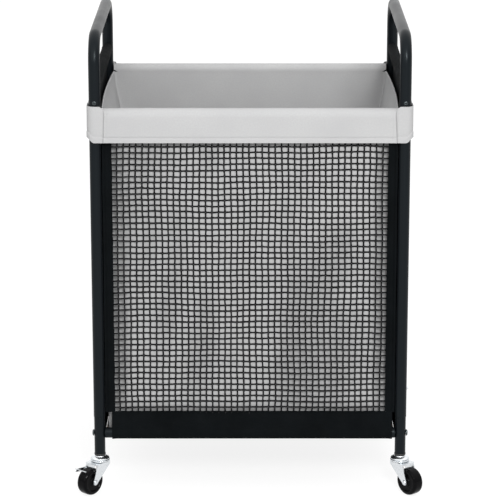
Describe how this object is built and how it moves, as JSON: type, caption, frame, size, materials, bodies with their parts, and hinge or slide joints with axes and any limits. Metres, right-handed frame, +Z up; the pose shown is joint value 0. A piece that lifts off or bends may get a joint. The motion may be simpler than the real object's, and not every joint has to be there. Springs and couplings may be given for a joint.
{
  "type": "laundry sorter on wheels",
  "caption": "Rolling laundry hamper: black tube frame with side hoop handles, black mesh bag, grey removable liner with folded cuff, and swivel casters, some with brakes.",
  "frame": {"origin": "on the floor, under the middle of the frame", "axes": "+Z up, +X to the right as seen from the front, +Y to the rear"},
  "size_m": [0.5816, 0.463, 0.7745],
  "materials": {
    "black_paint": "semi-gloss black powder coat",
    "screw_steel": "zinc-plated, bright",
    "black_mesh": "open square netting of black yarn",
    "black_fabric": "plain-woven black polyester",
    "grey_fabric": "light grey plain-woven polyester",
    "fibre_board": "plain hardboard",
    "black_plastic": "matte moulded",
    "wheel_plastic": "smooth hard plastic",
    "bright_zinc": "bright zinc plate on pressed steel"
  },
  "bodies": {
    "frame": {"handle_hoop_left": "black_paint", "handle_hoop_right": "black_paint", "side_crossbar_left": "black_paint", "side_crossbar_right": "black_paint", "leg_upper_front_left": "black_paint", "leg_lower_front_left": "black_paint", "leg_upper_front_right": "black_paint", "leg_lower_front_right": "black_paint", "leg_upper_rear_left": "black_paint", "leg_lower_rear_left": "black_paint", "leg_upper_rear_right": "black_paint", "leg_lower_rear_right": "black_paint", "top_rod_front": "black_paint", "bottom_rod_front": "black_paint", "top_rod_rear": "black_paint", "bottom_rod_rear": "black_paint", "bottom_side_rod_left": "black_paint", "bottom_side_rod_right": "black_paint", "top_rod_screw_front_left": "screw_steel", "top_rod_screw_front_right": "screw_steel", "top_rod_screw_rear_left": "screw_steel", "top_rod_screw_rear_right": "screw_steel", "rod_bolt_front_left": "black_paint", "hoop_screw_front_left": "black_paint", "rod_bolt_front_right": "black_paint", "hoop_screw_front_right": "black_paint", "rod_bolt_rear_left": "black_paint", "hoop_screw_rear_left": "black_paint", "rod_bolt_rear_right": "black_paint", "hoop_screw_rear_right": "black_paint", "bag_mesh_front": "black_mesh", "bag_mesh_rear": "black_mesh", "bag_side_left": "black_fabric", "bag_side_right": "black_fabric", "bag_floor": "black_fabric", "base_board": "fibre_board", "liner": "grey_fabric", "caster_socket_front_left": "black_plastic", "caster_socket_front_right": "black_plastic", "caster_socket_rear_left": "black_plastic", "caster_socket_rear_right": "black_plastic", "caster_stem_front_left": "bright_zinc", "caster_stem_front_right": "bright_zinc", "caster_stem_rear_left": "bright_zinc", "caster_stem_rear_right": "bright_zinc"},
    "caster_front_left": {"caster_fork_front_left": "bright_zinc", "caster_axle_front_left": "bright_zinc"},
    "wheel_front_left": {"caster_wheel_front_left": "wheel_plastic"},
    "lever_front_left": {"brake_lever_front_left": "bright_zinc"},
    "caster_front_right": {"caster_fork_front_right": "bright_zinc", "caster_axle_front_right": "bright_zinc"},
    "wheel_front_right": {"caster_wheel_front_right": "wheel_plastic"},
    "caster_rear_left": {"caster_fork_rear_left": "bright_zinc", "caster_axle_rear_left": "bright_zinc"},
    "wheel_rear_left": {"caster_wheel_rear_left": "wheel_plastic"},
    "caster_rear_right": {"caster_fork_rear_right": "bright_zinc", "caster_axle_rear_right": "bright_zinc"},
    "wheel_rear_right": {"caster_wheel_rear_right": "wheel_plastic"},
    "lever_rear_right": {"brake_lever_rear_right": "bright_zinc"}
  },
  "joints": [
    {"name": "swivel_front_left", "type": "hinge", "parent": "frame", "child": "caster_front_left", "pos_m": [-0.25, -0.19, 0.051], "axis": [0, 0, 1], "continuous": true},
    {"name": "wheel_spin_front_left", "type": "hinge", "parent": "caster_front_left", "child": "wheel_front_left", "pos_m": [-0.26607, -0.20915, 0.0225], "axis": [0.766, -0.6428, 0], "continuous": true},
    {"name": "brake_front_left", "type": "hinge", "parent": "caster_front_left", "child": "lever_front_left", "pos_m": [-0.26286, -0.20532, 0.04], "axis": [0.766, -0.6428, 0], "range_deg": [0, 10]},
    {"name": "swivel_front_right", "type": "hinge", "parent": "frame", "child": "caster_front_right", "pos_m": [0.25, -0.19, 0.051], "axis": [0, 0, 1], "continuous": true},
    {"name": "wheel_spin_front_right", "type": "hinge", "parent": "caster_front_right", "child": "wheel_front_right", "pos_m": [0.26607, -0.20915, 0.0225], "axis": [0.766, 0.6428, 0], "continuous": true},
    {"name": "swivel_rear_left", "type": "hinge", "parent": "frame", "child": "caster_rear_left", "pos_m": [-0.25, 0.19, 0.051], "axis": [0, 0, 1], "continuous": true},
    {"name": "wheel_spin_rear_left", "type": "hinge", "parent": "caster_rear_left", "child": "wheel_rear_left", "pos_m": [-0.26607, 0.20915, 0.0225], "axis": [-0.766, -0.6428, 0], "continuous": true},
    {"name": "swivel_rear_right", "type": "hinge", "parent": "frame", "child": "caster_rear_right", "pos_m": [0.25, 0.19, 0.051], "axis": [0, 0, 1], "continuous": true},
    {"name": "wheel_spin_rear_right", "type": "hinge", "parent": "caster_rear_right", "child": "wheel_rear_right", "pos_m": [0.26607, 0.20915, 0.0225], "axis": [-0.766, 0.6428, 0], "continuous": true},
    {"name": "brake_rear_right", "type": "hinge", "parent": "caster_rear_right", "child": "lever_rear_right", "pos_m": [0.26286, 0.20532, 0.04], "axis": [-0.766, 0.6428, 0], "range_deg": [0, 10]}
  ]
}
